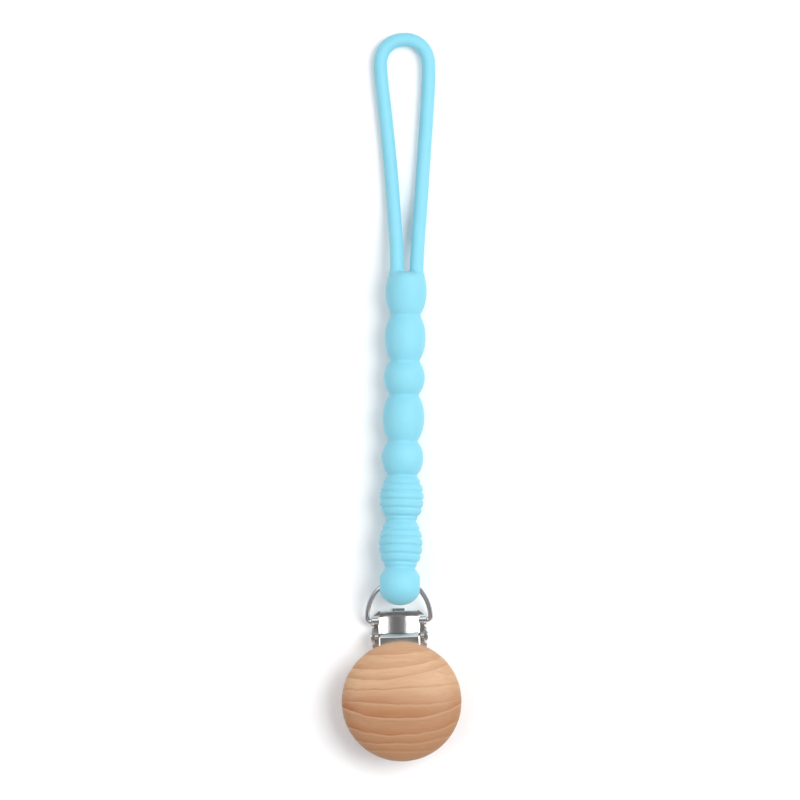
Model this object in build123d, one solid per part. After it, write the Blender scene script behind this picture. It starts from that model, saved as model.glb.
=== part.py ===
"""Pacifier clip: a wooden-disc suspender clip on a moulded silicone bead strap with a cord loop.

The clip lies on its back plate. The origin is on the underside of the back plate, below the middle
of the wooden disc. +X is to the right, +Y runs from the disc towards the cord loop, +Z is up.
Lengths are millimetres and angles are degrees.
"""
import os
from math import asin, atan2, cos, degrees, hypot, pi, radians, sin, sqrt, tan

from build123d import *

# Wooden disc
DISC_DIAMETER = 35.0
DISC_THICKNESS = 10.0
DISC_RIM_HEIGHT = 3.6       # height of the widest line above the flat underside
TACK_SHANK_R = 0.8
TACK_HEAD_R = 2.0
TACK_DEPTH = 5.0
TACK_PLACES = (8.0, -4.5)   # along Y

# Sheet metal
PLATE = 0.8                 # back plate and lever
JAW_SHEET = 0.7
LEVER_HALF_WIDTH = 6.2
LEVER_TAIL_Y = 19.1
LEVER_TAIL_ROUNDING = 0.6
EAR_INNER = 7.2             # half the space between the back plate's two ears
BACK_EDGE_Y = 26.1
FLANGE_TOP = 3.0            # height of the back plate's upturned rear edge
JAW_END_Y = -14.5           # where both jaws end
JAW_TAIL_Y = 24.6
# the jaw's bowed tail: place along Y, half width, rise of its edges, rise of its middle above them
JAW_BOW = (
    (15.4, 5.40, -0.25, 0.10),
    (18.7, 5.55, -0.08, 0.60),
    (19.7, 6.00, 0.00, 1.06),
    (25.0, 6.20, 0.12, 1.18),
)

# Pins and bores
FIT = 0.05                  # radial clearance of every running bore
PIN_R = 0.7
PIN_Y = 18.75
PIN_HEAD_R = 1.3
PIN_HEAD = 0.35
WIRE_R = 0.7
BAR_Y = 23.3
BAR_Z = 2.35

# Grip pads
PAD_HALF_WIDTH = 6.6
PAD_Y = (-13.2, -4.2)
PAD_HEIGHT = 0.85
PAD_GAP = 0.1
RIB_COUNT = 5
RIB_HEIGHT = 0.4
STAKE_R = 1.1
STAKE_HEAD_R = 1.7
STAKE_X = 3.6

# Lever action
LEVER_OPEN = 80.0
JAW_RATIO = 0.125           # jaw degrees per lever degree
CAM_LIFT = 2.1              # pin centre to the cam's face with the clip shut

# D-ring
RING_HALF_WIDTH = 9.3       # to the middle of the wire
RING_CORNER_R = 1.2
RING_SIDE_R = 17.0

# Strap
ARC_STEPS = 8               # points on each bead's and the dome's curve
CORD_R = 2.0
NECK_R = 4.2
SOCKET_CLEARANCE = 0.1
NECK_GAP = 1.0              # each bead ends this far from the middle of the neck
BORE_R = 2.3
BOW_OFFSET = 1.3            # the bow's wire passes this far beyond the bore's axis
HEADING = 3.15              # the strap lies this far to the right of the clip's axis
STRAP_Z = 6.2               # height of the strap's axis where the beads lie on the table
END_BEAD_X = 0.6
END_BEAD_Y = 33.9
END_BEAD_R = 6.05
END_BEAD_TO_NECK = 5.03
# name, greatest radius, length from neck to neck, downward pitch, grooves, groove radius
BEADS = (
    ("strap_bead_7", 6.45, 13.88, 6.0, 5, 0.50),
    ("strap_bead_6", 6.50, 13.36, 3.4, 5, 0.32),
    ("strap_bead_5", 6.12, 10.00, 0.0, 0, 0.0),
    ("strap_bead_4", 6.15, 13.60, 0.0, 0, 0.0),
    ("strap_bead_3", 6.00, 9.90, 0.0, 0, 0.0),
    ("strap_bead_2", 6.00, 13.40, 0.0, 0, 0.0),
    ("strap_bead_1", 6.00, 12.11, 0.0, 0, 0.0),
)
END_BEAD_PITCH = 7.0
GROOVE_PITCH = 2.35
LAST_BEAD_CUT = 1.45        # bead 1 ends this far short of its neck, in a flat face for the cord

# Cord loop: its route from bead 1 up the left strand, round the top and back down the right one
LOOP_ROUTE = (
    (2.713, 125.065, 6.2),
    (2.974, 129.807, 6.2),
    (2.75, 136.6, 4.4),
    (2.42, 146.6, 2.35),
    (1.85, 158.6, 2.05),
    (0.95, 172.0, 2.08),
    (0.05, 182.0, 2.05),
    (-0.15, 189.6, 2.06),
    (3.9, 193.75, 2.05),
    (10.2, 193.75, 2.06),
    (14.2, 189.5, 2.05),
    (14.0, 181.8, 2.06),
    (13.1, 171.8, 2.05),
    (11.75, 158.4, 2.08),
    (10.55, 146.4, 2.35),
    (9.5, 136.3, 4.4),
    (8.765, 129.489, 6.2),
    (8.504, 124.746, 6.2),
)

DISC_R = DISC_DIAMETER / 2
PAD_TOP = PLATE + PAD_HEIGHT
JAW_Z = PAD_TOP + PAD_GAP + PAD_HEIGHT
JAW_TOP = JAW_Z + JAW_SHEET
CAM_CLEARANCE = 0.05
PIN_Z = JAW_TOP + CAM_LIFT + CAM_CLEARANCE
LEVER_Z = PIN_Z + PIN_R + 0.25
LEVER_TOP = LEVER_Z + PLATE


def between(low, high):
    """A block with the given lowest and highest corners."""
    size = [b - a for a, b in zip(low, high)]
    middle = [(a + b) / 2 for a, b in zip(low, high)]
    return Pos(*middle) * Box(*size)


def across(radius, x_low, x_high, y, z):
    """A round bar along X."""
    bar = Rot(0, 90, 0) * Cylinder(radius, x_high - x_low)
    return Pos((x_low + x_high) / 2, y, z) * bar


def upright(radius, z_low, z_high, x, y):
    """A round bar along Z."""
    return Pos(x, y, (z_low + z_high) / 2) * Cylinder(radius, z_high - z_low)


def side_slab(points, x_low, x_high):
    """A flat sheet that stands across X, from its outline's (y, z) points."""
    outline = make_face(Polyline(*[(y, z) for y, z in points], close=True))
    slab = extrude(outline, x_high - x_low)
    standing = Plane(origin=(x_low, 0, 0), x_dir=(0, 1, 0), z_dir=(1, 0, 0))
    return standing * slab


def mirrored_outline(right_side, corner):
    """A flat outline from its right-hand points, mirrored, with its corners rounded."""
    left_side = [(-x, y) for x, y in reversed(right_side)]
    face = make_face(Polyline(*right_side, *left_side, close=True))
    return fillet(face.vertices(), corner)


def ellipse_arc(centre_y, radius, stretch, low, high):
    """A smooth curve on an upright ellipse, from height low to height high."""
    first = asin((low - centre_y) / stretch)
    last = asin((high - centre_y) / stretch)
    points = []
    for k in range(ARC_STEPS + 1):
        angle = first + (last - first) * k / ARC_STEPS
        points.append((radius * cos(angle), centre_y + stretch * sin(angle)))
    tangents = [(-radius * sin(angle), stretch * cos(angle)) for angle in (first, last)]
    return Spline(*points, tangents=tangents)


def wood_disc():
    """A turned disc: flat below, a rounded rim and a domed top, with two blind tack holes."""
    rim = DISC_RIM_HEIGHT
    flat_r = DISC_R - rim
    lower = CenterArc((flat_r, rim), rim, -90, 90)
    upper = ellipse_arc(rim, DISC_R, DISC_THICKNESS - rim, rim, DISC_THICKNESS)
    start = Line((0, 0), (flat_r, 0))
    close = Line(upper @ 1, (0, 0))
    profile = Plane.XZ * make_face([start, lower, upper, close])
    disc = Pos(0, 0, LEVER_TOP) * revolve(profile, Axis.Z)
    for y in TACK_PLACES:
        disc -= upright(TACK_SHANK_R, LEVER_TOP - 1, LEVER_TOP + TACK_DEPTH, 0, y)
    return disc


def disc_tacks():
    """Two flat-headed tacks driven up through the lever into the wood."""
    tacks = []
    for y in TACK_PLACES:
        shank = upright(TACK_SHANK_R, LEVER_Z, LEVER_TOP + TACK_DEPTH, 0, y)
        head = upright(TACK_HEAD_R, LEVER_Z - 0.6, LEVER_Z, 0, y)
        tacks.append(shank + head)
    return Compound(children=tacks)


def cam_outline():
    """Half of a cheek's edge about the pin, as (y, z) from the pin's centre.

    The jaw turns JAW_RATIO times as far as the lever. Each point is where the cheek touches the jaw's
    flat top at one lever angle, so the outline is the envelope of that plane, less a clearance.
    """
    rise = PIN_Z - BAR_Z
    reach = BAR_Y - PIN_Y
    thickness = JAW_TOP - BAR_Z + CAM_CLEARANCE
    share = JAW_RATIO / (1 - JAW_RATIO)
    points = []
    for turn in range(0, 81, 8):
        facing = radians(turn)
        jaw = facing * share
        height = rise * cos(jaw) - reach * sin(jaw) - thickness
        slope = -share * (rise * sin(jaw) + reach * cos(jaw))
        y = height * sin(facing) + slope * cos(facing)
        z = -height * cos(facing) + slope * sin(facing)
        points.append((y, z))
    return points


def lever_plate():
    """A stamped channel: a flat top under the disc and two cheeks with cams about the pin."""
    right_side = [
        (LEVER_HALF_WIDTH, LEVER_TAIL_Y),
        (LEVER_HALF_WIDTH, 5.0),
        (5.0, 1.0),
        (5.0, -6.0),
        (2.5, -9.0),
    ]
    top = extrude(mirrored_outline(right_side, 0.4), PLATE)
    tail_edge = top.edges().filter_by(Axis.X).group_by(Axis.Z)[-1].sort_by(Axis.Y)[-1]
    top = fillet(tail_edge, LEVER_TAIL_ROUNDING)
    lever = Pos(0, 0, LEVER_Z) * top
    cam = [(PIN_Y + y, PIN_Z + z) for y, z in cam_outline()]
    front = (cam[0][0] - 2.0, cam[0][1])
    back_y = cam[-1][0]
    cheek = [(6.5, LEVER_TOP - 0.3), (6.5, LEVER_Z - 0.9), front, *cam, (back_y, LEVER_TOP - 0.3)]
    for side in (-1, 1):
        x_low = min(side * LEVER_HALF_WIDTH, side * (LEVER_HALF_WIDTH - JAW_SHEET))
        lever += side_slab(cheek, x_low, x_low + JAW_SHEET)
    lever -= across(PIN_R + FIT, -8, 8, PIN_Y, PIN_Z)
    for y in TACK_PLACES:
        lever -= upright(TACK_SHANK_R, LEVER_Z, LEVER_TOP, 0, y)
    return lever


def hinge_pin():
    """The riveted pin through the ears and the lever's cheeks."""
    outer = EAR_INNER + PLATE
    pin = across(PIN_R, -outer, outer, PIN_Y, PIN_Z)
    for side in (-1, 1):
        x_low, x_high = sorted((side * outer, side * (outer + PIN_HEAD)))
        pin += across(PIN_HEAD_R, x_low, x_high, PIN_Y, PIN_Z)
    return pin


def back_plate():
    """The plate behind the cloth: an upturned rear edge, two ears, a bar knuckle and the lower jaw."""
    outer = EAR_INNER + PLATE
    right_side = [
        (5.85, BACK_EDGE_Y),
        (7.4, 24.8),
        (7.4, 21.4),
        (outer, 20.9),
        (outer, 15.6),
        (6.0, 10.0),
        (6.0, -1.0),
        (8.0, -5.0),
        (8.0, -11.0),
        (5.0, JAW_END_Y),
    ]
    plate = extrude(mirrored_outline(right_side, 0.3), PLATE)
    bump_half = 1.75
    plate += between((-bump_half, BACK_EDGE_Y - 0.5, 0), (bump_half, BACK_EDGE_Y + 0.7, PLATE))
    flange_half = 5.5
    flange = between((-flange_half, BACK_EDGE_Y - 0.65, 0.2), (flange_half, BACK_EDGE_Y, FLANGE_TOP))
    flange_edges = flange.edges().filter_by(Axis.X).group_by(Axis.Z)[-1]
    plate += fillet(flange_edges, 0.3)
    ear_top = PIN_Z + 1.35
    ear = [
        (16.4, 0.2),
        (16.4, 3.5),
        (17.4, ear_top - 0.5),
        (18.0, ear_top),
        (19.5, ear_top),
        (20.1, ear_top - 0.5),
        (20.8, 3.5),
        (20.8, 0.2),
    ]
    for side in (-1, 1):
        x_low = min(side * EAR_INNER, side * outer)
        plate += side_slab(ear, x_low, x_low + PLATE)
    knuckle_r = WIRE_R + FIT + 0.5
    knuckle_half = 2.2
    plate += across(knuckle_r, -knuckle_half, knuckle_half, BAR_Y, BAR_Z)
    foot_low = (-knuckle_half, BAR_Y - 1.2, PLATE - 0.1)
    plate += between(foot_low, (knuckle_half, BAR_Y + 1.2, BAR_Z - 0.6))
    plate -= across(WIRE_R + FIT, -3, 3, BAR_Y, BAR_Z)
    plate -= across(PIN_R, -9, 9, PIN_Y, PIN_Z)
    for x in (-STAKE_X, STAKE_X):
        plate -= upright(STAKE_R, 0, PLATE, x, sum(PAD_Y) / 2)
    return plate


def pad_ribs(z_base, direction):
    """Triangular ribs across a pad, standing up (1) or down (-1) from z_base."""
    pitch = (PAD_Y[1] - PAD_Y[0]) / RIB_COUNT
    ribs = []
    for k in range(RIB_COUNT):
        y = PAD_Y[0] + (k + 0.5) * pitch
        tip = z_base + direction * RIB_HEIGHT
        sunk = z_base - direction * 0.1
        half = 0.4 * pitch
        outline = [(y - half, sunk), (y, tip), (y + half, sunk)]
        ribs.append(side_slab(outline, -PAD_HALF_WIDTH, PAD_HALF_WIDTH))
    return ribs


def lower_grip_pad():
    """The ribbed plastic pad staked to the back plate, with its stakes flush below."""
    slab_top = PAD_TOP - RIB_HEIGHT
    pad = between((-PAD_HALF_WIDTH, PAD_Y[0], PLATE), (PAD_HALF_WIDTH, PAD_Y[1], slab_top))
    for rib in pad_ribs(slab_top, 1):
        pad += rib
    for x in (-STAKE_X, STAKE_X):
        pad += upright(STAKE_R, 0, slab_top, x, sum(PAD_Y) / 2)
    return pad


def upper_grip_pad():
    """The ribbed plastic pad under the jaw plate, with stake heads above it."""
    slab_low = JAW_Z - PAD_HEIGHT + RIB_HEIGHT
    pad = between((-PAD_HALF_WIDTH, PAD_Y[0], slab_low), (PAD_HALF_WIDTH, PAD_Y[1], JAW_Z))
    for rib in pad_ribs(slab_low, -1):
        pad += rib
    for x in (-STAKE_X, STAKE_X):
        y = sum(PAD_Y) / 2
        pad += upright(STAKE_R, slab_low, JAW_TOP + 0.1, x, y)
        pad += upright(STAKE_HEAD_R, JAW_TOP, JAW_TOP + 0.5, x, y)
    return pad


def bowed_section(y, half, edge_top, crown):
    """A closed section of the bowed sheet, in a plane across Y."""
    low = edge_top - JAW_SHEET
    upper = ThreePointArc((-half, edge_top), (0, edge_top + crown), (half, edge_top))
    lower = ThreePointArc((half, low), (0, low + crown), (-half, low))
    right = Line((half, edge_top), (half, low))
    left = Line((-half, low), (-half, edge_top))
    face = make_face([upper, right, lower, left])
    return Plane(origin=(0, y, 0), x_dir=(1, 0, 0), z_dir=(0, -1, 0)) * face


def jaw_plate():
    """The front jaw: a bowed tail knuckled on the D-ring's bar and a flat tongue down to the pad."""
    right_side = [
        (6.3, 18.2),
        (6.3, 12.0),
        (4.8, 8.0),
        (4.8, -1.0),
        (8.0, -5.0),
        (8.0, -11.0),
        (5.0, JAW_END_Y),
    ]
    tongue = Pos(0, 0, JAW_Z) * extrude(mirrored_outline(right_side, 0.3), JAW_SHEET)
    sections = [bowed_section(y, half, JAW_TOP + edge, crown) for y, half, edge, crown in JAW_BOW]
    edge_r = 60.0
    tail = loft(sections, ruled=True) & upright(edge_r, 0, 10, 0, JAW_TAIL_Y - edge_r)
    jaw = tongue + tail
    knuckle_r = WIRE_R + FIT + JAW_SHEET
    web_half = 1.05
    for side in (-1, 1):
        ends = sorted((side * 5.7, side * 8.0))
        jaw += across(knuckle_r, *ends, BAR_Y, BAR_Z)
        web_low = (ends[0], BAR_Y - web_half, BAR_Z + 0.5)
        jaw += between(web_low, (ends[1], BAR_Y + web_half, BAR_Z + 1.05))
    jaw -= across(WIRE_R + FIT, -9, 9, BAR_Y, BAR_Z)
    for x in (-STAKE_X, STAKE_X):
        jaw -= upright(STAKE_R, JAW_Z, JAW_TOP, x, sum(PAD_Y) / 2)
    return jaw


def bead_axis(pitch):
    """The direction along the strap, from the clip to the loop, for a downward pitch."""
    flat = cos(radians(pitch))
    return Vector(sin(radians(HEADING)) * flat, cos(radians(HEADING)) * flat, -sin(radians(pitch)))


def bead_frame(start, pitch):
    """A plane whose Y runs along the strap and whose Z is the bead's own upward direction."""
    right = Vector(cos(radians(HEADING)), -sin(radians(HEADING)), 0)
    return Plane(origin=start, x_dir=right, z_dir=right.cross(bead_axis(pitch)))


def strap_start():
    """The centre of the end bead, found by walking back up the raised beads from the table."""
    height = STRAP_Z
    for name, radius, length, pitch, grooves, groove_r in BEADS[:2]:
        height += length * sin(radians(pitch))
    height += END_BEAD_TO_NECK * sin(radians(END_BEAD_PITCH))
    return Vector(END_BEAD_X, END_BEAD_Y, height)


def oval_body(radius, length, start, end):
    """A bead about Y, from y = start to y = end, that would reach the neck's radius at 0 and length."""
    half = length / 2
    stretch = half / sqrt(1 - (NECK_R / radius) ** 2)
    arc = ellipse_arc(half, radius, stretch, start, end)
    bottom = Line((0, start), arc @ 0)
    top = Line(arc @ 1, (0, end))
    close = Line((0, end), (0, start))
    return revolve(make_face([bottom, arc, top, close]), Axis.Y)


def bead_outline(radius, length, y):
    """The radius of a bead's outside at a place along it."""
    half = length / 2
    stretch = half / sqrt(1 - (NECK_R / radius) ** 2)
    return radius * sqrt(1 - ((y - half) / stretch) ** 2)


def strap_bead(name, radius, length, grooves, groove_r):
    """A bead from the middle of its lower neck at 0, with a socket below and a ball above."""
    last = name == BEADS[-1][0]
    end = length if last else length - NECK_GAP
    full = length + LAST_BEAD_CUT if last else length
    bead = oval_body(radius, full, NECK_GAP, end)
    bead -= Sphere(NECK_R + SOCKET_CLEARANCE)
    if not last:
        bead += Pos(0, length, 0) * Sphere(NECK_R)
    for k in range(grooves):
        y = length / 2 + (k - (grooves - 1) / 2) * GROOVE_PITCH
        ring = Rot(90, 0, 0) * Torus(bead_outline(radius, full, y) + 0.15, groove_r)
        bead -= Pos(0, y, 0) * ring
    return bead


def end_bead(frame):
    """The bead on the D-ring, about its own centre, with a straight cross bore along X."""
    neck = END_BEAD_TO_NECK
    stretch = neck / sqrt(1 - (NECK_R / END_BEAD_R) ** 2)
    top_y = neck - NECK_GAP
    lower = CenterArc((0, 0), END_BEAD_R, -90, 90)
    upper = ellipse_arc(0, END_BEAD_R, stretch, 0, top_y)
    top = Line(upper @ 1, (0, top_y))
    close = Line((0, top_y), (0, -END_BEAD_R))
    bead = revolve(make_face([lower, upper, top, close]), Axis.Y)
    bead += Pos(0, neck, 0) * Sphere(NECK_R)
    bead -= across(BORE_R, -8, 8, 0, 0)
    return frame * bead


def d_ring(axis_centre):
    """A bent wire ring: a straight bar in the knuckles and a rounded bow through the end bead."""
    rise = axis_centre.Z - BAR_Z
    run = axis_centre.Y - BAR_Y
    bow = hypot(rise, run) + BOW_OFFSET
    lean = degrees(atan2(rise, run))
    corner = RING_CORNER_R
    half = RING_HALF_WIDTH
    straight = half - corner
    # the side arcs and the top arc are tangent to each other
    side_x = half - RING_SIDE_R
    span = bow - corner
    top_r = (RING_SIDE_R**2 - side_x**2 - span**2) / (2 * (RING_SIDE_R - span))
    top_y = bow - top_r
    turn = atan2(top_y - corner, -side_x)
    meet = Vector(side_x + RING_SIDE_R * cos(turn), corner + RING_SIDE_R * sin(turn))
    mid = Vector(side_x + RING_SIDE_R * cos(turn / 2), corner + RING_SIDE_R * sin(turn / 2))
    slant = corner * (1 - sqrt(0.5))
    path = Wire(
        [
            Line((-straight, 0), (straight, 0)),
            ThreePointArc((straight, 0), (half - slant, slant), (half, corner)),
            ThreePointArc((half, corner), (mid.X, mid.Y), (meet.X, meet.Y)),
            ThreePointArc((meet.X, meet.Y), (0, bow), (-meet.X, meet.Y)),
            ThreePointArc((-meet.X, meet.Y), (-mid.X, mid.Y), (-half, corner)),
            ThreePointArc((-half, corner), (slant - half, slant), (-straight, 0)),
        ]
    )
    section = Plane(origin=(0, 0, 0), x_dir=(0, 1, 0), z_dir=(1, 0, 0)) * Circle(WIRE_R)
    ring = sweep(section, path=path)
    return Pos(0, BAR_Y, BAR_Z) * Rot(lean, 0, 0) * ring


def turn_angle(before, corner, after):
    """The turn of a route at a corner."""
    return (corner - before).get_angle(after - corner)


def strap_loop():
    """The cord loop: straight runs joined by tangent arcs that are as large as the runs allow."""
    route = [Vector(*p) for p in LOOP_ROUTE]
    radii = []
    for before, corner, after in zip(route, route[1:], route[2:]):
        shorter = min((corner - before).length, (after - corner).length)
        half_turn = radians(turn_angle(before, corner, after) / 2)
        radii.append(0.45 * shorter / tan(half_turn))
    print("loop bend radii:", [round(r, 1) for r in radii])
    path = FilletPolyline(*route, radius=radii)
    section = Plane(origin=route[0], z_dir=route[1] - route[0]) * Circle(CORD_R)
    loop = sweep(section, path=path)
    print("loop length:", round(path.length, 1))
    print("loop volume over section times length:", round(loop.volume / (pi * CORD_R**2 * path.length), 4))
    return loop


def main():
    os.makedirs("parts", exist_ok=True)
    start = strap_start()
    frame = bead_frame(start, END_BEAD_PITCH)
    nodes = {
        "back_plate": back_plate(),
        "lower_grip_pad": lower_grip_pad(),
        "hinge_pin": hinge_pin(),
        "jaw_plate": jaw_plate(),
        "upper_grip_pad": upper_grip_pad(),
        "lever_plate": lever_plate(),
        "wood_disc": wood_disc(),
        "disc_tacks": disc_tacks(),
        "d_ring": d_ring(start),
        "strap_bead_8": end_bead(frame),
        "strap_loop": strap_loop(),
    }
    neck = start + bead_axis(END_BEAD_PITCH) * END_BEAD_TO_NECK
    print("ring wire axis", [round(v, 3) for v in start])
    for name, radius, length, pitch, grooves, groove_r in BEADS:
        print(name, "neck at", [round(v, 3) for v in neck])
        bead = strap_bead(name, radius, length, grooves, groove_r)
        nodes[name] = bead_frame(neck, pitch) * bead
        neck = neck + bead_axis(pitch) * length
    print("cord face at", [round(v, 3) for v in neck])
    print("pin", round(PIN_Y, 3), round(PIN_Z, 3), "bar", BAR_Y, BAR_Z)
    for name, shape in nodes.items():
        export_step(shape, f"parts/{name}.step")


main()
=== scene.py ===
"""Looks of the pacifier clip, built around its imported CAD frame.

The frame is in metres. Names that end in _MM hold millimetres. +X is to the right, +Y runs from the
wooden disc towards the cord loop, and +Z is up from the table.
"""

import math

import bmesh
import bpy
import numpy as np
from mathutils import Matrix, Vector


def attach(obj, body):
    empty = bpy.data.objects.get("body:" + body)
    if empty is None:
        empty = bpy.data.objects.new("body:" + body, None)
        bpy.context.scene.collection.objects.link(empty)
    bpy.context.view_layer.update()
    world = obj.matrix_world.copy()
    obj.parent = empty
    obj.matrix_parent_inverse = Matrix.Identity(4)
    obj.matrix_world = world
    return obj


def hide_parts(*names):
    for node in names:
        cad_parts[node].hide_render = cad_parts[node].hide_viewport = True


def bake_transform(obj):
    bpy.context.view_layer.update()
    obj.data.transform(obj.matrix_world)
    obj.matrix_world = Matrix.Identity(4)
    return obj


MM = 0.001
CREASE_ANGLE = math.radians(50)         # edges sharper than this stay sharp in the shading

# Strap's layout, as the CAD has it
HEADING = math.radians(3.15)            # the strap lies this far to the right of the clip's axis
END_BEAD_MM = (0.6, 33.9, 9.056)        # middle of the bead on the D-ring
END_BEAD_TO_NECK_MM = 5.03
END_BEAD_PITCH = 7.0                    # degrees downward
NECK_R_MM = 4.2
# body, greatest radius, length from neck to neck, downward pitch, grooves
BEADS_MM = (
    ("strap_7", 6.45, 13.88, 6.0, 5),
    ("strap_6", 6.50, 13.36, 3.4, 5),
    ("strap_5", 6.12, 10.00, 0.0, 0),
    ("strap_4", 6.15, 13.60, 0.0, 0),
    ("strap_3", 6.00, 9.90, 0.0, 0),
    ("strap_2", 6.00, 13.40, 0.0, 0),
    ("strap_1", 6.00, 13.56, 0.0, 0),
)
CORD_FACE_MM = 12.11                    # from bead 1's neck to the face that the cord leaves
CORD_R_MM = 2.0

# Strap's skin, where it isn't the CAD's
END_BEAD_R_MM = 6.3
END_BEAD_LOW_MM = 5.9                   # from its middle to its free end
BEND_HALF_MM = 1.8                      # a neck bends over this much on each side of its middle
NECK_BLEND_MM = 0.7                     # how softly two beads meet at a neck
GROOVE_PITCH_MM = 2.40
GROOVE_SHIFT_MM = -0.55                 # from the bead's middle to the middle groove, towards the D-ring
GROOVE_DEPTH_MM = 0.40
GROOVE_HALF_MM = 0.90                   # half the width of a groove's soft trough
BORE_R_MM = 2.0
BORE_LIP_MM = 0.6                       # rounding where the bore leaves the bead
FINE_STEP_MM = 0.06                     # between rings where there are grooves
PLAIN_STEP_MM = 0.16                    # between rings elsewhere
SEAM_STEP_MM = 0.01                     # a thin ring at each seam keeps the shading even across it

# Cord loop: from bead 1 up the left strand, round the top and back down the right one
LOOP_ROUTE = (
    (0.002713, 0.125065, 0.0062),
    (0.002974, 0.129807, 0.0062),
    (0.00275, 0.1366, 0.0044),
    (0.00242, 0.1466, 0.00235),
    (0.00185, 0.1586, 0.00205),
    (0.00095, 0.1720, 0.00208),
    (0.00005, 0.1820, 0.00205),
    (-0.00015, 0.1896, 0.00206),
    (0.0039, 0.19375, 0.00205),
    (0.0102, 0.19375, 0.00206),
    (0.0142, 0.1895, 0.00205),
    (0.0140, 0.1818, 0.00206),
    (0.0131, 0.1718, 0.00205),
    (0.01175, 0.1584, 0.00208),
    (0.01055, 0.1464, 0.00235),
    (0.0095, 0.1363, 0.0044),
    (0.008765, 0.129489, 0.0062),
    (0.008504, 0.124746, 0.0062),
)

# Wooden disc
DISC_R_MM = 17.5
DISC_LOW_MM = 7.2
DISC_RIM_MM = 3.6                       # from the flat underside up to the widest line
DISC_TOP_MM = 17.2

# Growth lines of the wood: place along Y, slope, sag, width of the dark band above it, darkness
WOOD_LINES = (
    (14.2, 0.05, 0.004, 3.2, 0.35),
    (10.5, 0.10, 0.006, 2.8, 0.50),
    (7.3, 0.11, 0.008, 2.0, 0.50),
    (4.1, 0.02, 0.000, 1.1, 0.45),
    (-0.4, -0.02, 0.004, 3.6, 0.60),
    (-4.6, 0.00, 0.012, 4.0, 1.00),
    (-9.5, 0.02, 0.012, 3.0, 0.75),
    (-12.1, 0.01, 0.009, 1.8, 0.65),
    (-14.4, 0.00, 0.006, 1.6, 0.40),
)
WOOD_BAND_EDGE_MM = 0.25                # how fast a dark band ends below its line
WOOD_LINE_MM = 0.55                     # width of the line itself
WOOD_LINE_EDGE_MM = 0.22
WOOD_HIGHLIGHT_MM = 0.40                     # width of the painted highlight, a pale line just below each growth line
WOOD_HIGHLIGHT_EDGE_MM = 0.6

# Colours, linear
SILICONE_DEEP = (0.195, 0.570, 0.705, 1)
SILICONE_LIGHT = (0.240, 0.622, 0.760, 1)
SILICONE_POWDER = (0.42, 0.76, 0.86, 1)
BEECH_DARK = (0.50, 0.280, 0.145, 1)
BEECH_LIGHT = (0.61, 0.385, 0.230, 1)
BEECH_FIBRE = (0.65, 0.425, 0.270, 1)
HEART_DARK = (0.365, 0.170, 0.080, 1)
HEART_LIGHT = (0.445, 0.240, 0.122, 1)
# painted highlight: the pale line just below each growth line
PAINTED_LINE_HIGHLIGHT = (0.64, 0.43, 0.28, 1)
LATE_WOOD = (0.37, 0.138, 0.052, 1)
GROWTH_LINE = (0.25, 0.095, 0.040, 1)
WOOD_FLECK = (0.36, 0.17, 0.08, 1)
NICKEL_DULL = (0.78, 0.775, 0.765, 1)
NICKEL_BRIGHT = (0.84, 0.835, 0.825, 1)
WIRE_DULL = (0.42, 0.44, 0.47, 1)
WIRE_BRIGHT = (0.50, 0.52, 0.55, 1)
PLASTIC_DULL = (0.70, 0.72, 0.72, 1)
PLASTIC_BRIGHT = (0.80, 0.81, 0.80, 1)
PAPER_DULL = (0.95, 0.95, 0.955, 1)
PAPER_BRIGHT = (0.97, 0.97, 0.975, 1)
WORLD_LOW = (0.07, 0.07, 0.072, 1)
WORLD_WHITE = (0.60, 0.60, 0.605, 1)
WORLD_OVERHEAD = (0.125, 0.122, 0.122, 1)

# Stage, in metres
STAGE_MIDDLE = (0.0025, 0.088, 0.0)
FLOOR_HALF = 4.0
FLOOR_DROP = 0.00005
# name, azimuth, elevation, distance, size, power
LIGHTS = (
    ("key_light", 12, 56, 1.1, 0.74, 10.0),
    ("fill_light", 187, 48, 0.9, 0.6, 2.1),
    ("top_light", 97, 58, 0.9, 0.7, 0.9),
)
CAMERA_TARGET = (0.00245, 0.0880, 0.0062)
CAMERA_DISTANCE = 1.5
CAMERA_ROLL = math.radians(-1.9)
CAMERA_SENSOR = 36.0                    # millimetres, as Blender has it
VIEW_WIDTH = 0.2343                     # what the picture spans at the target


# ---------------------------------------------------------------- shader nodes

def put(tree, kind, inputs=None, **settings):
    """Adds a node, with its settings and its inputs set or linked."""
    node = tree.nodes.new(kind)
    for key, value in settings.items():
        setattr(node, key, value)
    for key, value in (inputs or {}).items():
        if isinstance(value, bpy.types.NodeSocket):
            tree.links.new(value, node.inputs[key])
        else:
            node.inputs[key].default_value = value
    return node


def calc(tree, operation, a, b=0.0):
    """The output of a Math node."""
    return put(tree, "ShaderNodeMath", {0: a, 1: b}, operation=operation).outputs[0]


def times(tree, a, b):
    """Two values multiplied."""
    return calc(tree, "MULTIPLY", a, b)


def new_material(name):
    """An empty material with a Principled shader, and the node tree and shader."""
    material = bpy.data.materials.new(name)
    material.use_nodes = True
    tree = material.node_tree
    return material, tree, tree.nodes["Principled BSDF"]


def object_mm(tree):
    """Object coordinates in millimetres."""
    coords = put(tree, "ShaderNodeTexCoord").outputs["Object"]
    return put(tree, "ShaderNodeVectorMath", {0: coords, "Scale": 1 / MM}, operation="SCALE").outputs[0]


def noise(tree, vector, scale, detail=2.0, roughness=0.5):
    """The grey value of a noise texture."""
    inputs = {"Vector": vector, "Scale": scale, "Detail": detail, "Roughness": roughness}
    return put(tree, "ShaderNodeTexNoise", inputs).outputs[0]


def stretched(tree, vector, x, y, z):
    """A vector multiplied axis by axis."""
    return put(tree, "ShaderNodeVectorMath", {0: vector, 1: (x, y, z)}, operation="MULTIPLY").outputs[0]


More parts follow.
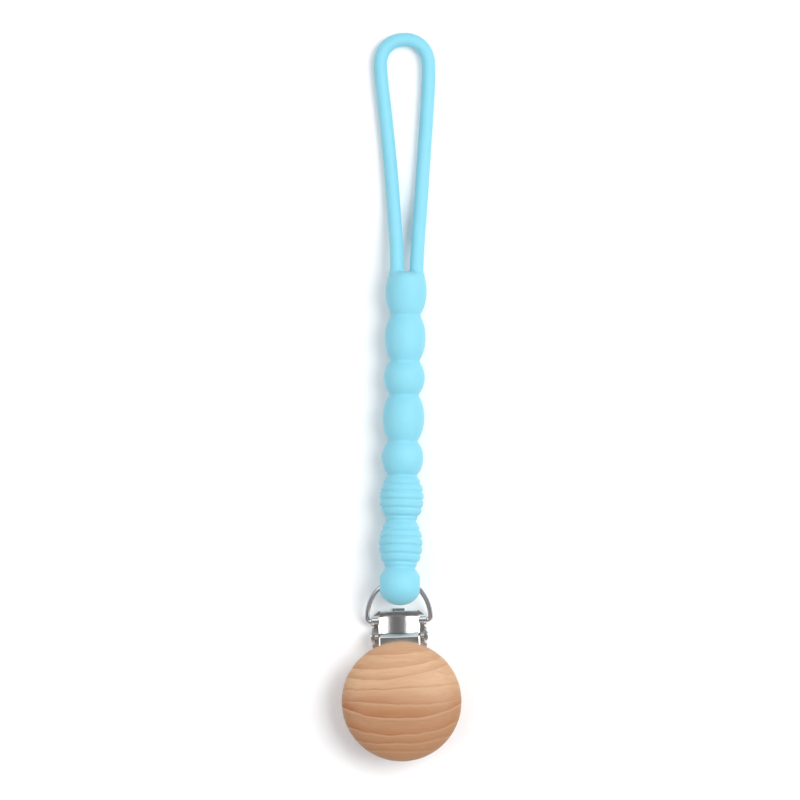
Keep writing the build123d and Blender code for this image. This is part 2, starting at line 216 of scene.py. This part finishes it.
def ranged(tree, value, low, high, start=0.0, end=1.0, smooth=False):
    """A value spread from low to high as it goes from start to end."""
    inputs = {0: value, 1: start, 2: end, 3: low, 4: high}
    kind = "SMOOTHSTEP" if smooth else "LINEAR"
    return put(tree, "ShaderNodeMapRange", inputs, interpolation_type=kind).outputs[0]


def mixed(tree, factor, a, b):
    """Two colours mixed."""
    return put(tree, "ShaderNodeMix", {0: factor, 6: a, 7: b}, data_type="RGBA").outputs[2]


def bumped(tree, shader, height, distance_mm, strength=1.0):
    """Gives the shader a bump of that depth."""
    inputs = {"Height": height, "Distance": distance_mm * MM, "Strength": strength}
    tree.links.new(put(tree, "ShaderNodeBump", inputs).outputs[0], shader.inputs["Normal"])


# ---------------------------------------------------------------- materials

def silicone_material():
    """Matte moulded silicone, light blue, a little translucent, with a fine powdery surface."""
    material, tree, shader = new_material("light_blue_silicone")
    place = object_mm(tree)
    clouds = noise(tree, place, 0.12, 3.0)
    grain = noise(tree, place, 4.0, 4.0, 0.6)
    tone = mixed(tree, clouds, SILICONE_DEEP, SILICONE_LIGHT)
    colour = mixed(tree, ranged(tree, grain, 0.0, 0.12), tone, SILICONE_POWDER)
    tree.links.new(colour, shader.inputs["Base Color"])
    tree.links.new(ranged(tree, noise(tree, place, 1.1, 3.0), 0.48, 0.66), shader.inputs["Roughness"])
    shader.inputs["Specular IOR Level"].default_value = 0.35
    shader.inputs["Sheen Weight"].default_value = 0.12
    shader.inputs["Sheen Roughness"].default_value = 0.6
    shader.inputs["Subsurface Weight"].default_value = 0.15
    shader.inputs["Subsurface Radius"].default_value = (0.3, 1.0, 1.2)
    shader.inputs["Subsurface Scale"].default_value = 0.8 * MM
    bumped(tree, shader, grain, 0.012)
    return material


def wood_line_distance(tree, x, across, place, slope, bend):
    """How far above one growth line a point is: a line that slopes and sags across the disc."""
    curve = times(tree, calc(tree, "ADD", times(tree, x, bend), slope), x)
    return calc(tree, "SUBTRACT", calc(tree, "SUBTRACT", across, curve), place)


def wood_band(tree, above, width, edge):
    """Wood that darkens towards a growth line over a width above it and ends sharply below the line."""
    rise = ranged(tree, above, 0.0, 1.0, width, 0.0, smooth=True)
    cut = ranged(tree, above, 0.0, 1.0, -edge, 0.0, smooth=True)
    return times(tree, rise, cut)


def wandering(tree, place, y):
    """The place across the grain, as the fibres wander."""
    wide = noise(tree, stretched(tree, place, 0.09, 0.16, 0.16), 1.0, 2.0)
    across = calc(tree, "ADD", y, ranged(tree, wide, -1.0, 1.0))
    fine = noise(tree, stretched(tree, place, 0.30, 0.9, 0.9), 1.0, 1.0)
    return calc(tree, "ADD", across, ranged(tree, fine, -0.22, 0.22))


def wood_growth(tree, place, x, across):
    """Strength of late wood, lines and the painted highlight just below each line. The first two fade to
    the right and in patches.
    """
    late = 0.0
    line = 0.0
    painted_highlight = 0.0
    for height, slope, bend, width, strength in WOOD_LINES:
        above = wood_line_distance(tree, x, across, height, slope, bend)
        # the pale strip just below each line is a painted highlight
        below = calc(tree, "ADD", above, WOOD_HIGHLIGHT_MM)
        dark = wood_band(tree, above, width, WOOD_BAND_EDGE_MM)
        sharp = wood_band(tree, above, WOOD_LINE_MM, WOOD_LINE_EDGE_MM)
        pale = wood_band(tree, below, WOOD_HIGHLIGHT_MM, WOOD_HIGHLIGHT_EDGE_MM)
        late = calc(tree, "MAXIMUM", times(tree, dark, strength), late)
        line = calc(tree, "MAXIMUM", times(tree, sharp, strength), line)
        painted_highlight = calc(tree, "MAXIMUM", times(tree, pale, strength), painted_highlight)
    side = ranged(tree, x, 1.0, 0.55, -9.0, 11.0)
    patches = noise(tree, stretched(tree, place, 0.11, 0.30, 0.30), 1.0, 2.0)
    late = times(tree, times(tree, late, side), ranged(tree, patches, 0.35, 1.45))
    line = times(tree, times(tree, line, side), ranged(tree, patches, -0.2, 1.4))
    return late, calc(tree, "MAXIMUM", line, 0.0), painted_highlight


def along_grain(tree, x, across, z, squeeze):
    """Coordinates that follow the grain, squeezed along it."""
    inputs = {0: times(tree, x, squeeze), 1: across, 2: z}
    return put(tree, "ShaderNodeCombineXYZ", inputs).outputs[0]


def wood_colour(tree, across, fibres, streaks, layers):
    """Pale wood above, warmer wood below, and over them the layers: amount, strength, colour."""
    pale = mixed(tree, ranged(tree, streaks, -0.3, 1.3), BEECH_DARK, BEECH_LIGHT)
    pale = mixed(tree, ranged(tree, fibres, 0.0, 0.35), pale, BEECH_FIBRE)
    warm = mixed(tree, ranged(tree, fibres, -0.2, 1.2), HEART_DARK, HEART_LIGHT)
    colour = mixed(tree, ranged(tree, across, 0.0, 0.9, 6.0, -3.0), pale, warm)
    for amount, strength, tint in layers:
        colour = mixed(tree, times(tree, amount, strength), colour, tint)
    return colour


def wood_material():
    """Oiled beech: growth bands that darken to a sharp line, fine fibres and short flecks."""
    material, tree, shader = new_material("oiled_beech")
    place = object_mm(tree)
    x, y, z = put(tree, "ShaderNodeSeparateXYZ", {0: place}).outputs
    across = wandering(tree, place, y)
    late, line, painted_highlight = wood_growth(tree, place, x, across)
    long_grain = along_grain(tree, x, across, z, 0.11)
    short_grain = along_grain(tree, x, across, z, 0.55)
    fibres = noise(tree, stretched(tree, long_grain, 1.0, 3.2, 1.5), 1.0, 4.0, 0.6)
    streaks = noise(tree, stretched(tree, long_grain, 0.6, 1.1, 0.8), 1.0, 2.0, 0.5)
    specks = noise(tree, stretched(tree, short_grain, 1.0, 7.0, 7.0), 1.0, 1.0)
    flecks = ranged(tree, specks, 0.0, 1.0, 0.62, 0.74)
    layers = (
        # painted highlight just below each growth line
        (painted_highlight, 0.28, PAINTED_LINE_HIGHLIGHT),
        (late, 0.90, LATE_WOOD),
        (line, 0.45, GROWTH_LINE),
        (flecks, 0.22, WOOD_FLECK),
    )
    colour = wood_colour(tree, across, fibres, streaks, layers)
    tree.links.new(colour, shader.inputs["Base Color"])
    tree.links.new(ranged(tree, fibres, 0.40, 0.60), shader.inputs["Roughness"])
    shader.inputs["Specular IOR Level"].default_value = 0.35
    shader.inputs["Coat Weight"].default_value = 0.06
    shader.inputs["Coat Roughness"].default_value = 0.40
    bumped(tree, shader, calc(tree, "SUBTRACT", fibres, times(tree, line, 0.3)), 0.02)
    return material


def steel_material(name, dull, bright):
    """Nickel-plated steel: a faint rolled texture, fine scratches and slightly duller patches."""
    material, tree, shader = new_material(name)
    place = object_mm(tree)
    patches = noise(tree, place, 0.35, 3.0)
    scratches = noise(tree, stretched(tree, place, 9.0, 0.6, 9.0), 1.0, 3.0, 0.7)
    tree.links.new(mixed(tree, patches, dull, bright), shader.inputs["Base Color"])
    rough = calc(tree, "ADD", ranged(tree, patches, 0.14, 0.20), ranged(tree, scratches, 0.0, 0.06))
    tree.links.new(rough, shader.inputs["Roughness"])
    shader.inputs["Metallic"].default_value = 1.0
    height = calc(tree, "ADD", times(tree, scratches, 0.15), noise(tree, place, 0.8, 1.0))
    bumped(tree, shader, height, 0.008)
    return material


def plastic_material():
    """Frosted moulded plastic of the grip pads."""
    material, tree, shader = new_material("frosted_plastic")
    place = object_mm(tree)
    clouds = noise(tree, place, 0.5, 3.0)
    grain = noise(tree, place, 7.0, 3.0)
    tree.links.new(mixed(tree, clouds, PLASTIC_DULL, PLASTIC_BRIGHT), shader.inputs["Base Color"])
    tree.links.new(ranged(tree, grain, 0.42, 0.60), shader.inputs["Roughness"])
    shader.inputs["Subsurface Weight"].default_value = 0.15
    shader.inputs["Subsurface Scale"].default_value = 0.8 * MM
    bumped(tree, shader, grain, 0.015)
    return material


def paper_material():
    """The pale floor."""
    material, tree, shader = new_material("white_paper")
    fibre = noise(tree, object_mm(tree), 0.6, 4.0)
    tree.links.new(mixed(tree, fibre, PAPER_DULL, PAPER_BRIGHT), shader.inputs["Base Color"])
    shader.inputs["Roughness"].default_value = 0.9
    shader.inputs["Specular IOR Level"].default_value = 0.1
    return material


# ---------------------------------------------------------------- meshes

def new_object(name, data):
    """An object in the scene."""
    obj = bpy.data.objects.new(name, data)
    bpy.context.scene.collection.objects.link(obj)
    return obj


def shade_smooth(mesh):
    """Smooth shading, with the sharp edges kept."""
    mesh.polygons.foreach_set("use_smooth", [True] * len(mesh.polygons))
    mesh.set_sharp_from_angle(angle=CREASE_ANGLE)


def revolved(name, centres, rights, ups, radii, material, segments=112):
    """A closed surface through rings. A first ring of radius 0 is a pole, other ends get flat caps."""
    angles = 2 * np.pi * np.arange(segments) / segments
    vertices = []
    faces = []
    starts = []
    for centre, right, up, radius in zip(centres, rights, ups, radii):
        starts.append(len(vertices))
        if radius == 0:
            vertices.append(centre)
        else:
            ring = np.outer(np.cos(angles), right) + np.outer(np.sin(angles), up)
            vertices.extend(centre + radius * ring)
    for k in range(len(starts) - 1):
        a, b = starts[k], starts[k + 1]
        for i in range(segments):
            j = (i + 1) % segments
            if radii[k] == 0:
                faces.append((a, b + j, b + i))
            else:
                faces.append((a + i, a + j, b + j, b + i))
    if radii[0] != 0:
        cap(vertices, faces, starts[0], segments, centres[0], True)
    cap(vertices, faces, starts[-1], segments, centres[-1], False)
    mesh = bpy.data.meshes.new(name)
    mesh.from_pydata([tuple(float(c) * MM for c in v) for v in vertices], [], faces)
    mesh.materials.append(material)
    mesh.update()
    shade_smooth(mesh)
    return new_object(name, mesh)


def cap(vertices, faces, start, segments, centre, first):
    """A fan of triangles over an end ring."""
    middle = len(vertices)
    vertices.append(centre)
    for i in range(segments):
        j = (i + 1) % segments
        faces.append((middle, start + j, start + i) if first else (middle, start + i, start + j))


def repeated(vector, count):
    """The same direction for each of a number of rings."""
    return np.repeat(np.array(vector, float)[None], count, 0)


def combine(piece, other, operation):
    """Adds an exact boolean modifier."""
    modifier = piece.modifiers.new(other.name, "BOOLEAN")
    modifier.object = other
    modifier.operation = operation
    modifier.solver = "EXACT"


def evaluated_mesh(obj):
    """An object's shape as its modifiers leave it, as a new mesh."""
    bpy.context.view_layer.update()
    graph = bpy.context.evaluated_depsgraph_get()
    return bpy.data.meshes.new_from_object(obj.evaluated_get(graph))


def keep_modifiers(obj):
    """Applies an object's modifiers to its mesh."""
    mesh = evaluated_mesh(obj)
    obj.modifiers.clear()
    old = obj.data
    obj.data = mesh
    bpy.data.meshes.remove(old)


def slice_off(piece, place_mm, outward):
    """Cuts a mesh flat at a place, removes what lies outward and closes the cut."""
    mesh = bmesh.new()
    mesh.from_mesh(piece.data)
    everything = mesh.verts[:] + mesh.edges[:] + mesh.faces[:]
    cut = bmesh.ops.bisect_plane(
        mesh,
        geom=everything,
        dist=1e-7,
        plane_co=Vector(place_mm) * MM,
        plane_no=Vector(outward),
        clear_outer=True,
    )
    edges = [e for e in cut["geom_cut"] if isinstance(e, bmesh.types.BMEdge)]
    bmesh.ops.holes_fill(mesh, edges=edges, sides=0)
    bmesh.ops.recalc_face_normals(mesh, faces=mesh.faces[:])
    mesh.to_mesh(piece.data)
    mesh.free()


# ---------------------------------------------------------------- strap's shape

def smooth_max(a, b, k):
    """The greater of two values, rounded where they are within k of each other."""
    h = np.maximum(k - np.abs(a - b), 0) / k
    return np.maximum(a, b) + h * h * k / 4


def smooth_min(a, b, k):
    """The lesser of two values, rounded where they are within k of each other."""
    return -smooth_max(-a, -b, k)


def strap_right():
    """The direction to the strap's right."""
    return np.array((math.cos(HEADING), -math.sin(HEADING), 0.0))


def strap_forward(pitch):
    """The direction along the strap for downward pitches in degrees."""
    pitch = np.radians(np.asarray(pitch, float))
    flat = np.cos(pitch)
    return np.stack((math.sin(HEADING) * flat, math.cos(HEADING) * flat, -np.sin(pitch)), -1)


def neck_places():
    """How far each neck is from the middle of the end bead, along the strap."""
    places = [END_BEAD_TO_NECK_MM]
    for bead in BEADS_MM:
        places.append(places[-1] + bead[2])
    return places


def strap_line():
    """The strap's axis as fine steps: distances, points and pitches. It turns gently at each neck."""
    step = 0.02
    necks = neck_places()
    along = np.arange(-END_BEAD_R_MM, necks[-1] + 1, step)
    pitches = [END_BEAD_PITCH] + [bead[3] for bead in BEADS_MM]
    pitch = np.full(len(along), pitches[0])
    for neck, before, after in zip(necks, pitches, pitches[1:]):
        t = np.clip((along - neck) / (2 * BEND_HALF_MM) + 0.5, 0, 1)
        pitch += (after - before) * t * t * (3 - 2 * t)
    steps = strap_forward(pitch) * step
    points = np.cumsum(steps, 0)
    points += np.array(END_BEAD_MM) - points[np.argmin(np.abs(along))]
    return along, points, pitch


def bead_stretch(radius, length):
    """Half the length of the whole oval whose middle part is the bead between its necks."""
    return (length / 2) / math.sqrt(1 - (NECK_R_MM / radius) ** 2)


def oval(distance, radius, length):
    """The radius of a bead that reaches the neck's radius half its length away from its middle."""
    return radius * np.sqrt(np.maximum(1 - (distance / bead_stretch(radius, length)) ** 2, 0))


def strap_radius(s):
    """The strap's outside radius at distances along it, from the end bead's middle onwards."""
    radius = oval(s, END_BEAD_R_MM, 2 * END_BEAD_TO_NECK_MM)
    for (_, most, length, _, grooves), start in zip(BEADS_MM, neck_places()):
        middle = start + length / 2
        bead = oval(s - middle, most, length)
        for k in range(grooves):
            place = middle + GROOVE_SHIFT_MM + (k - (grooves - 1) / 2) * GROOVE_PITCH_MM
            off = np.clip((s - place) / GROOVE_HALF_MM, -1, 1)
            bead = bead - GROOVE_DEPTH_MM * (0.5 + 0.5 * np.cos(np.pi * off)) ** 1.5
        radius = smooth_max(radius, bead, NECK_BLEND_MM)
    return radius


def strap_places(start, end, fine):
    """Distances for the rings of one piece, closer where there are grooves, thin at each seam."""
    spacing = FINE_STEP_MM if fine else PLAIN_STEP_MM
    count = int(round((end - start - 2 * SEAM_STEP_MM) / spacing))
    inner = np.linspace(start + SEAM_STEP_MM, end - SEAM_STEP_MM, count + 1)
    return np.concatenate(([start], inner, [end]))


def strap_rings(places, line):
    """The centres, right and up directions of rings at distances along the strap."""
    along, points, pitch = line
    centres = np.stack([np.interp(places, along, points[:, c]) for c in range(3)], -1)
    rights = repeated(strap_right(), len(places))
    ups = np.cross(rights, strap_forward(np.interp(places, along, pitch)))
    return centres, rights, ups


# ---------------------------------------------------------------- beads

def neck_piece(name, start, end, fine, line, material):
    """The strap from one bead's widest place to the next one's."""
    places = strap_places(start, end, fine)
    return revolved(name, *strap_rings(places, line), strap_radius(places), material)


def end_bead_piece(name, end, line, material):
    """The bead on the D-ring, whole, and the strap on to the middle of bead 7."""
    quarter = np.linspace(0, np.pi / 2, 46)[:-1]
    lower = -END_BEAD_LOW_MM * np.cos(quarter)
    upper = strap_places(0, end, True)
    places = np.concatenate((lower, upper))
    radii = np.concatenate((END_BEAD_R_MM * np.sin(quarter), strap_radius(upper)))
    radii[0] = 0
    piece = revolved(name, *strap_rings(places, line), radii, material)
    cut_bore(piece, material)
    return piece


def cut_bore(piece, material):
    """Cuts the cross bore for the D-ring's wire, with rounded lips."""
    outside = 8.0                       # the cutter ends here, clear of the bead
    flare = 4.5                         # the cutter's radius outside
    straight = 4.8                      # the plain bore reaches this far from the middle
    steps = 25
    reach = math.sqrt(END_BEAD_R_MM**2 - BORE_R_MM**2)
    turn = np.linspace(0, np.pi / 2 * 0.93, 9)
    out = reach - BORE_LIP_MM + BORE_LIP_MM * np.sin(turn) + 0.02
    wide = BORE_R_MM + BORE_LIP_MM * (1 - np.cos(turn))
    bore = np.linspace(-straight, straight, steps)
    places = np.concatenate(([-outside], -out[::-1], bore, out, [outside]))
    radii = np.concatenate(([flare], wide[::-1], [BORE_R_MM] * steps, wide, [flare]))
    right = strap_right()
    up = np.array((0.0, 0.0, 1.0))
    centres = np.array(END_BEAD_MM) + np.outer(places, right)
    rights = repeated(np.cross(up, right), len(places))
    ups = repeated(up, len(places))
    cutter = revolved("bore_cutter", centres, rights, ups, radii, material, 72)
    combine(piece, cutter, "DIFFERENCE")
    keep_modifiers(piece)
    bpy.data.objects.remove(cutter)
    piece.data.set_sharp_from_angle(angle=CREASE_ANGLE)


def build_beads(line, material):
    """The strap from the end bead to the middle of bead 1, in pieces that each span one neck."""
    necks = neck_places()
    bodies = ["strap_8"] + [bead[0] for bead in BEADS_MM]
    grooved = [False] + [bead[4] > 0 for bead in BEADS_MM]
    middles = [0.0] + [start + bead[2] / 2 for start, bead in zip(necks, BEADS_MM)]
    for k in range(len(bodies) - 1):
        name = f"silicone_beads_{8 - k}_{7 - k}"
        if k == 0:
            piece = end_bead_piece(name, middles[1], line, material)
        else:
            fine = grooved[k] or grooved[k + 1]
            piece = neck_piece(name, middles[k], middles[k + 1], fine, line, material)
        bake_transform(piece)
        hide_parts(f"strap_bead_{8 - k}")


# ---------------------------------------------------------------- cord loop and its root

def loop_curve(material):
    """The cord loop as one smooth NURBS curve, without its thickness."""
    curve = bpy.data.curves.new("silicone_loop", "CURVE")
    curve.dimensions = "3D"
    spline = curve.splines.new("NURBS")
    spline.points.add(len(LOOP_ROUTE) - 1)
    for point, place in zip(spline.points, LOOP_ROUTE):
        point.co = (*place, 1.0)
    spline.order_u = 3
    spline.use_endpoint_u = True
    curve.resolution_u = 16
    curve.materials.append(material)
    return new_object("silicone_loop", curve)


def curve_points(obj):
    """Points along a curve that has no thickness yet, in millimetres."""
    mesh = evaluated_mesh(obj)
    points = np.array([v.co for v in mesh.vertices], float) / MM
    bpy.data.meshes.remove(mesh)
    return points


def line_distance(points, line):
    """The distance of points from a line of short steps."""
    best = np.full(len(points), 1e9)
    for a, b in zip(line, line[1:]):
        d = b - a
        t = np.clip((points - a) @ d / (d @ d), 0, 1)
        best = np.minimum(best, np.linalg.norm(points - a - np.outer(t, d), axis=1))
    return best


class Root:
    """The end of bead 1, where it runs smoothly into the two strands of the cord. Millimetres."""

    FACE_BULGE = 0.5                    # the bead's end stands this much proud of the cord's face
    FACE_ROUNDING = 1.6                 # of the edge round that end
    FILLET = 1.1                        # between the end and the strands
    CROTCH = 0.5                        # rounding between the two strands
    SKIN = 0.012                        # the root's strands are this much thicker than the cord
    SPARE = 1.6                         # the rough solid starts this much before the seam
    STUB = 4.3                          # each strand belongs to the root for this long
    REACH = 12.0                        # of each strand's line
    INSIDE = 8.0                        # how far each line runs on into the bead

    def __init__(self, line, cord):
        along, points = line[:2]
        self.radius, self.length = BEADS_MM[-1][1:3]
        neck_place = neck_places()[-2]
        self.neck = np.array([np.interp(neck_place, along, points[:, c]) for c in range(3)])
        self.forward = strap_forward(0.0)
        self.strands = [self.strand(cord), self.strand(cord[::-1])]

    def strand(self, cord):
        """The first part of a cord's line, run straight back into the bead."""
        steps = np.concatenate(([0], np.cumsum(np.linalg.norm(np.diff(cord, axis=0), axis=1))))
        near = cord[steps < self.REACH]
        ahead = (near[1] - near[0]) / np.linalg.norm(near[1] - near[0])
        return np.vstack((near[0] - ahead * self.INSIDE, near))

    def shape(self, p):
        """Below 0 inside the root and above 0 outside it."""
        q = p - self.neck
        y = q @ self.forward
        away = np.linalg.norm(q - np.outer(y, self.forward), axis=1)
        middle = self.length / 2
        shrink = self.radius / bead_stretch(self.radius, self.length)
        bead = np.sqrt(away**2 + (shrink * (y - middle)) ** 2) - self.radius
        bead = smooth_max(bead, y - CORD_FACE_MM - self.FACE_BULGE, self.FACE_ROUNDING)
        strands = [line_distance(p, s) - CORD_R_MM - self.SKIN for s in self.strands]
        both = smooth_min(strands[0], strands[1], self.CROTCH)
        return smooth_min(bead, both, self.FILLET)

    def settle(self, p):
        """Moves points on to the surface."""
        probe = 0.01
        for _ in range(6):
            value = self.shape(p)
            slope = np.stack(
                [(self.shape(p + e) - self.shape(p - e)) / (2 * probe) for e in np.eye(3) * probe], -1
            )
            p = p - slope * (value / np.maximum((slope**2).sum(1), 0.2))[:, None]
        return p


def strand_tube(name, strand, material):
    """A plain tube round a strand, to be merged into the root."""
    ahead = np.gradient(strand, axis=0)
    ahead /= np.linalg.norm(ahead, axis=1)[:, None]
    side = np.cross(ahead, (0.0, 0.0, 1.0))
    side /= np.linalg.norm(side, axis=1)[:, None]
    ups = np.cross(side, ahead)
    return revolved(name, strand, side, ups, np.full(len(strand), CORD_R_MM), material, 32)


def rough_root(root, material):
    """Bead 1's outline merged with two tubes and remeshed evenly."""
    middle = root.length / 2
    places = np.linspace(middle - root.SPARE, CORD_FACE_MM + 0.4, 30)
    radii = oval(places - middle, root.radius, root.length)
    centres = root.neck + np.outer(places, root.forward)
    rights = repeated(strap_right(), len(places))
    ups = repeated(np.cross(strap_right(), root.forward), len(places))
    piece = revolved("silicone_root", centres, rights, ups, radii, material, 64)
    tubes = [strand_tube(f"stub_{k}", strand, material) for k, strand in enumerate(root.strands)]
    for tube in tubes:
        combine(piece, tube, "UNION")
    remesh = piece.modifiers.new("even", "REMESH")
    remesh.mode = "VOXEL"
    remesh.voxel_size = 0.22 * MM
    keep_modifiers(piece)
    for tube in tubes:
        bpy.data.objects.remove(tube)
    return piece


def root_piece(line, cord, material):
    """Bead 1 from its widest place to the cord's two strands."""
    root = Root(line, cord)
    piece = rough_root(root, material)
    start = root.length / 2
    end = CORD_FACE_MM + root.STUB
    points = np.array([v.co for v in piece.data.vertices], float) / MM
    along = (points - root.neck) @ root.forward
    rough_ends = (along < start - root.SPARE + 0.3) | (along > end + 1.5)
    moved = root.settle(points)
    moved[rough_ends] = points[rough_ends]
    piece.data.vertices.foreach_set("co", (moved * MM).astype(np.float32).ravel())
    for place, sign in ((start, -1), (end, 1)):
        slice_off(piece, root.neck + root.forward * place, root.forward * sign)
    piece.data.materials.clear()
    piece.data.materials.append(material)
    shade_smooth(piece.data)
    return piece


def build_root(line, cord, material):
    """Bead 1's far half, one solid shape with the first of the cord."""
    root = root_piece(line, cord, material)
    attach(root, "strap_1")
    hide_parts("strap_bead_1")


def build_loop(loop):
    """The cord loop, given its thickness."""
    loop.data.bevel_depth = CORD_R_MM * MM
    loop.data.bevel_resolution = 8
    loop.data.use_fill_caps = True
    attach(loop, "strap_1")
    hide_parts("strap_loop")


def build_strap(material):
    """The one moulded piece of silicone."""
    line = strap_line()
    loop = loop_curve(material)
    cord = curve_points(loop)
    build_beads(line, material)
    build_root(line, cord, material)
    build_loop(loop)


# ---------------------------------------------------------------- clip

def build_disc(material):
    """The turned disc: flat below, with a rounded rim and a domed top, lathed from the top down."""
    rim = DISC_LOW_MM + DISC_RIM_MM
    dome = np.linspace(np.pi / 2, 0, 64)
    under = np.linspace(0, -np.pi / 2, 20)[1:]
    heights = np.concatenate((rim + (DISC_TOP_MM - rim) * np.sin(dome), rim + DISC_RIM_MM * np.sin(under)))
    edge = DISC_R_MM - DISC_RIM_MM + DISC_RIM_MM * np.cos(under)
    radii = np.concatenate((DISC_R_MM * np.cos(dome), edge))
    radii[0] = 0
    centres = np.stack((0 * heights, 0 * heights, heights), -1)
    rights = repeated((1, 0, 0), len(heights))
    ups = repeated((0, 1, 0), len(heights))
    disc = revolved("turned_disc", centres, rights, ups, radii, material, 160)
    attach(disc, "lever")
    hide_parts("wood_disc")


def dress_clip(nodes):
    """Materials for the CAD nodes that stay."""
    steel = steel_material("nickel_plate", NICKEL_DULL, NICKEL_BRIGHT)
    wire = steel_material("nickel_wire", WIRE_DULL, WIRE_BRIGHT)
    plastic = plastic_material()
    looks = {
        "lower_grip_pad": plastic,
        "upper_grip_pad": plastic,
        "back_plate": steel,
        "jaw_plate": steel,
        "lever_plate": steel,
        "hinge_pin": steel,
        "d_ring": wire,
        "disc_tacks": steel,
    }
    for name, material in looks.items():
        mesh = nodes[name].data
        mesh.materials.clear()
        mesh.materials.append(material)


# ---------------------------------------------------------------- stage

def build_floor():
    """A plain pale floor just below the clip."""
    mesh = bpy.data.meshes.new("floor")
    signs = ((-1, -1), (1, -1), (1, 1), (-1, 1))
    corners = [(x * FLOOR_HALF, y * FLOOR_HALF, -FLOOR_DROP) for x, y in signs]
    mesh.from_pydata(corners, [], [(0, 1, 2, 3)])
    mesh.materials.append(paper_material())
    floor = new_object("floor", mesh)


def build_light(name, azimuth, elevation, distance, size, power):
    """A square soft light that faces the middle of the stage."""
    light = bpy.data.lights.new(name, "AREA")
    light.shape = "SQUARE"
    light.size = size
    light.energy = power
    obj = new_object(name, light)
    flat = math.cos(math.radians(elevation))
    towards = Vector((
        math.cos(math.radians(azimuth)) * flat,
        math.sin(math.radians(azimuth)) * flat,
        math.sin(math.radians(elevation)),
    ))
    obj.location = Vector(STAGE_MIDDLE) + towards * distance
    obj.rotation_mode = "QUATERNION"
    obj.rotation_quaternion = towards.to_track_quat("Z", "Y")


def build_world():
    """Soft white surroundings, darker low down and in a patch overhead, where a camera would stand."""
    world = bpy.data.worlds.new("studio")
    bpy.context.scene.world = world
    world.use_nodes = True
    tree = world.node_tree
    direction = put(tree, "ShaderNodeTexCoord").outputs["Generated"]
    up = put(tree, "ShaderNodeSeparateXYZ", {0: direction}).outputs[2]
    wall = ranged(tree, up, 0.0, 1.0, 0.10, 0.42, smooth=True)
    patch = ranged(tree, up, 0.0, 1.0, 0.83, 0.90, smooth=True)
    colour = mixed(tree, patch, mixed(tree, wall, WORLD_LOW, WORLD_WHITE), WORLD_OVERHEAD)
    background = tree.nodes["Background"]
    tree.links.new(colour, background.inputs["Color"])
    background.inputs["Strength"].default_value = 1.0


def build_camera():
    """A long lens straight above the middle of the object."""
    camera = bpy.data.cameras.new("camera")
    camera.sensor_width = CAMERA_SENSOR
    camera.lens = CAMERA_SENSOR * CAMERA_DISTANCE / VIEW_WIDTH
    camera.clip_start = 0.01
    camera.clip_end = 20.0
    obj = new_object("camera", camera)
    obj.location = Vector(CAMERA_TARGET) + Vector((0, 0, CAMERA_DISTANCE))
    obj.rotation_euler = (0, 0, CAMERA_ROLL)
    bpy.context.scene.camera = obj


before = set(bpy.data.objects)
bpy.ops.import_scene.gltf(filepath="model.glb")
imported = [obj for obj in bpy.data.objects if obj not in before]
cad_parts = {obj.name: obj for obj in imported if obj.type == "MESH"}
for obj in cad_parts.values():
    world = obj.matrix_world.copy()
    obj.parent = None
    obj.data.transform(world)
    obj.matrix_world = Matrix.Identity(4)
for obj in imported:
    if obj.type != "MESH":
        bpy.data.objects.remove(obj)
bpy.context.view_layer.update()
bpy.context.scene.view_settings.view_transform = "Standard"
build_strap(silicone_material())
dress_clip(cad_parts)
build_disc(wood_material())
build_floor()
for light in LIGHTS:
    build_light(*light)
build_world()
build_camera()
